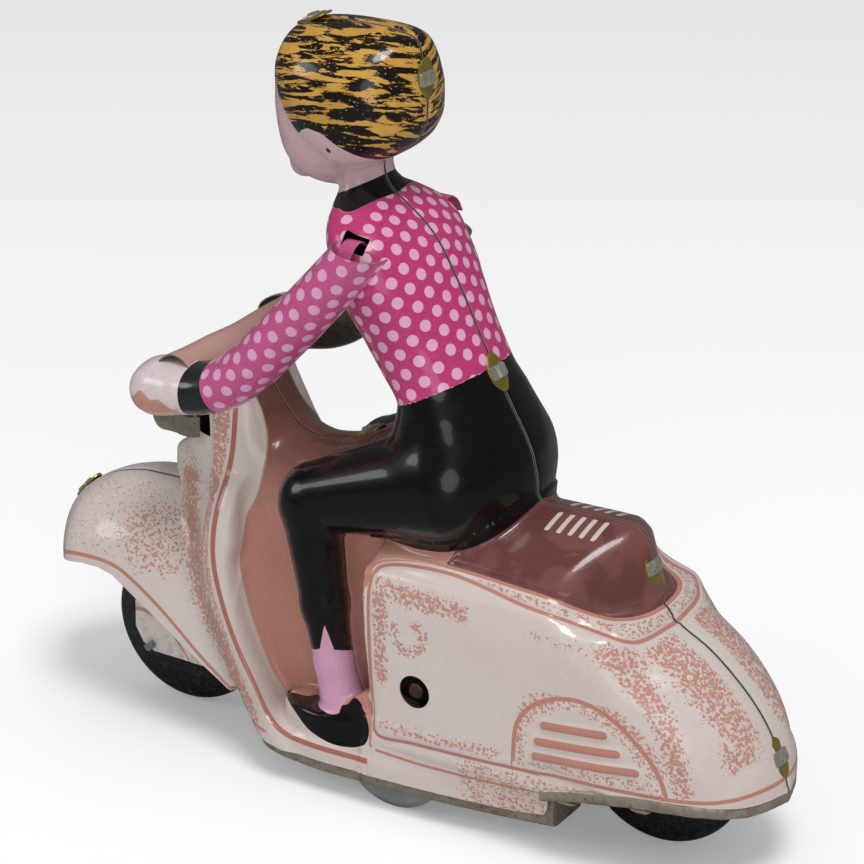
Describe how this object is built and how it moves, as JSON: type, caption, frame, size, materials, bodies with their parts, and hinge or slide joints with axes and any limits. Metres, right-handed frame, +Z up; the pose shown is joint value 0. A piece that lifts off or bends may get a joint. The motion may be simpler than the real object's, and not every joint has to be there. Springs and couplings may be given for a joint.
{
  "type": "clockwork tin scooter toy",
  "caption": "Printed tin clockwork scooter with a seated rider, made of stamped half shells clipped along the centre, with a spring motor that turns hidden side wheels.",
  "frame": {"origin": "on the floor under the middle of the overall box", "axes": "+X forward, +Y to the rider's left, +Z up"},
  "size_m": [0.186, 0.06, 0.1682],
  "materials": {
    "litho_tin": "gloss",
    "salmon_tin": "gloss",
    "bare_tin": "satin",
    "brass": "satin",
    "black_wheel": "gloss",
    "grey_wheel": "satin",
    "steel": "satin",
    "spring_steel": "satin"
  },
  "bodies": {
    "frame": {"left_shell": "litho_tin", "right_shell": "litho_tin", "left_arm": "litho_tin", "right_arm": "litho_tin", "handlebar": "salmon_tin", "handlebar_tabs": "bare_tin", "headlamp_cup": "bare_tin", "front_fork": "litho_tin", "base_pan": "bare_tin", "pan_tabs": "bare_tin", "seam_washers": "brass", "seam_tabs": "bare_tin", "front_axle": "steel", "rear_axle": "steel", "rear_bracket_left": "bare_tin", "rear_bracket_right": "bare_tin", "motor_plate_left": "steel", "motor_plate_right": "steel", "motor_pillars": "steel", "mainspring": "spring_steel"},
    "front_wheel": {"front_wheel": "black_wheel"},
    "rear_wheel": {"rear_wheel": "black_wheel"},
    "drive_set": {"drive_axle": "steel", "drive_wheel_left": "grey_wheel", "drive_wheel_right": "grey_wheel", "drive_pinion": "brass"},
    "intermediate_set": {"intermediate_arbor": "steel", "intermediate_pinion": "brass", "intermediate_wheel": "brass"},
    "great_wheel_set": {"great_wheel": "brass", "click": "steel"},
    "winding_set": {"winding_arbor": "steel", "ratchet_wheel": "steel"}
  },
  "joints": [
    {"name": "front_wheel_spin", "type": "hinge", "parent": "frame", "child": "front_wheel", "pos_m": [0.0575, 0, 0.019], "axis": [0, 1, 0], "continuous": true},
    {"name": "rear_wheel_spin", "type": "hinge", "parent": "frame", "child": "rear_wheel", "pos_m": [-0.0645, 0, 0.019], "axis": [0, 1, 0], "continuous": true},
    {"name": "drive_wheels_spin", "type": "hinge", "parent": "frame", "child": "drive_set", "pos_m": [-0.0094, 0, 0.0133], "axis": [0, 1, 0], "continuous": true},
    {"name": "intermediate_spin", "type": "hinge", "parent": "frame", "child": "intermediate_set", "pos_m": [-0.00401, 0, 0.02613], "axis": [0, 1, 0], "continuous": true},
    {"name": "great_wheel_spin", "type": "hinge", "parent": "frame", "child": "great_wheel_set", "pos_m": [-0.0175, 0, 0.0315], "axis": [0, 1, 0], "continuous": true},
    {"name": "winding_arbor_turn", "type": "hinge", "parent": "frame", "child": "winding_set", "pos_m": [-0.0175, 0, 0.0315], "axis": [0, 1, 0], "continuous": true}
  ],
  "couplings": [
    {"joint": "intermediate_spin", "follows": "drive_wheels_spin", "ratio": -0.27778},
    {"joint": "great_wheel_spin", "follows": "drive_wheels_spin", "ratio": 0.055556}
  ]
}
